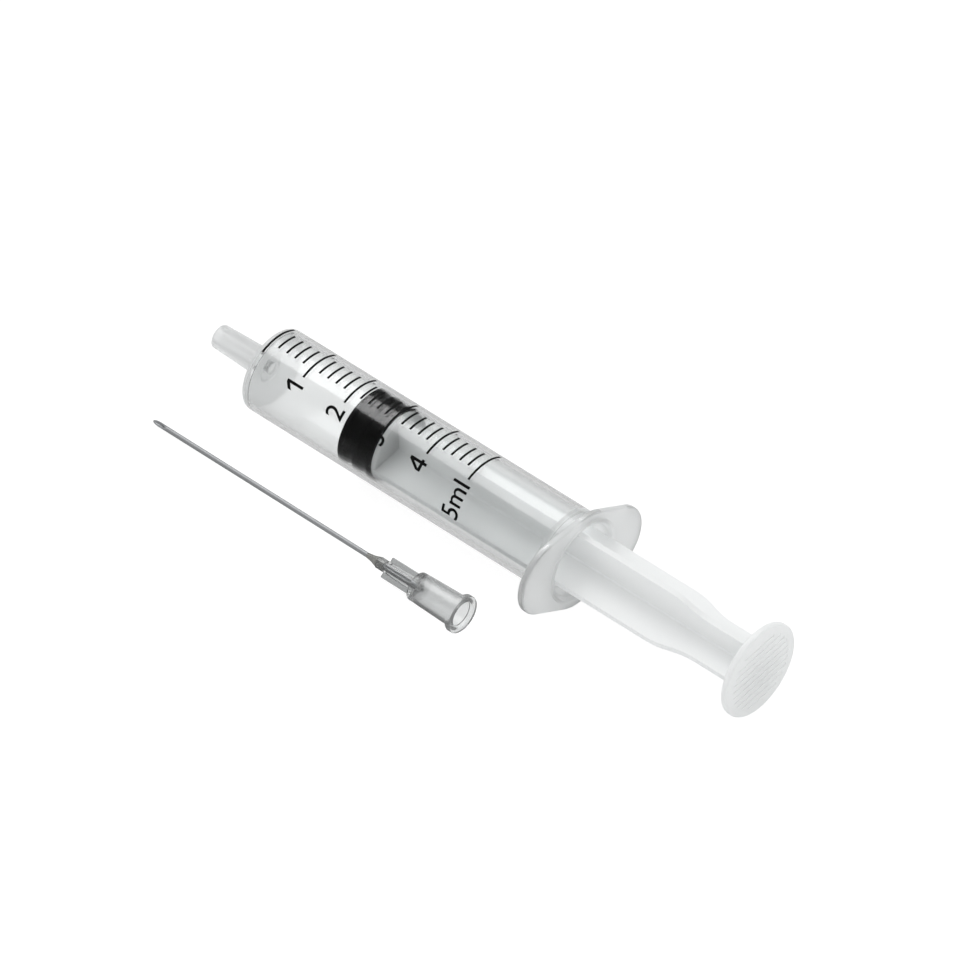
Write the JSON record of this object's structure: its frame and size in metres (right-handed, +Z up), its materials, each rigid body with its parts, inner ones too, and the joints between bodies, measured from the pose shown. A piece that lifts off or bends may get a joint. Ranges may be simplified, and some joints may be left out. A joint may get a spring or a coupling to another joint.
{
  "type": "disposable syringe",
  "caption": "Clear slip-tip syringe with finger flange, black stopper and cross-ribbed plunger, lying on its side beside its detached hypodermic needle.",
  "frame": {"origin": "on the surface the object lies on, under the middle of the outline of syringe and needle together", "axes": "+X along the syringe from nozzle to thumb disc, seen from above; +Z up; the needle lies on the -Y side"},
  "size_m": [0.108, 0.0332, 0.017],
  "materials": {
    "barrel": "clear polypropylene, smooth",
    "scale_marks": "printed ink film",
    "stopper": "smooth, lightly siliconed",
    "plunger_rod": "translucent polypropylene, satin",
    "needle_hub": "translucent polypropylene, satin",
    "needle_cannula": "ground stainless tube",
    "needle_glue": "cured adhesive, glossy"
  },
  "bodies": {
    "barrel": {"barrel": "barrel", "scale_marks": "scale_marks", "needle_hub": "needle_hub", "needle_cannula": "needle_cannula", "needle_glue": "needle_glue"},
    "stopper": {"stopper": "stopper"},
    "plunger_rod": {"plunger_rod": "plunger_rod"}
  },
  "joints": [
    {"name": "plunger_slide", "type": "slide", "parent": "barrel", "child": "stopper", "axis": [0.9998, 0, 0.0222], "range_m": [-0.0181, 0.0327]},
    {"name": "rod_spin", "type": "hinge", "parent": "stopper", "child": "plunger_rod", "pos_m": [-0.02131, 0.00304, 0.00747], "axis": [0.9998, 0, 0.0222], "continuous": true}
  ]
}
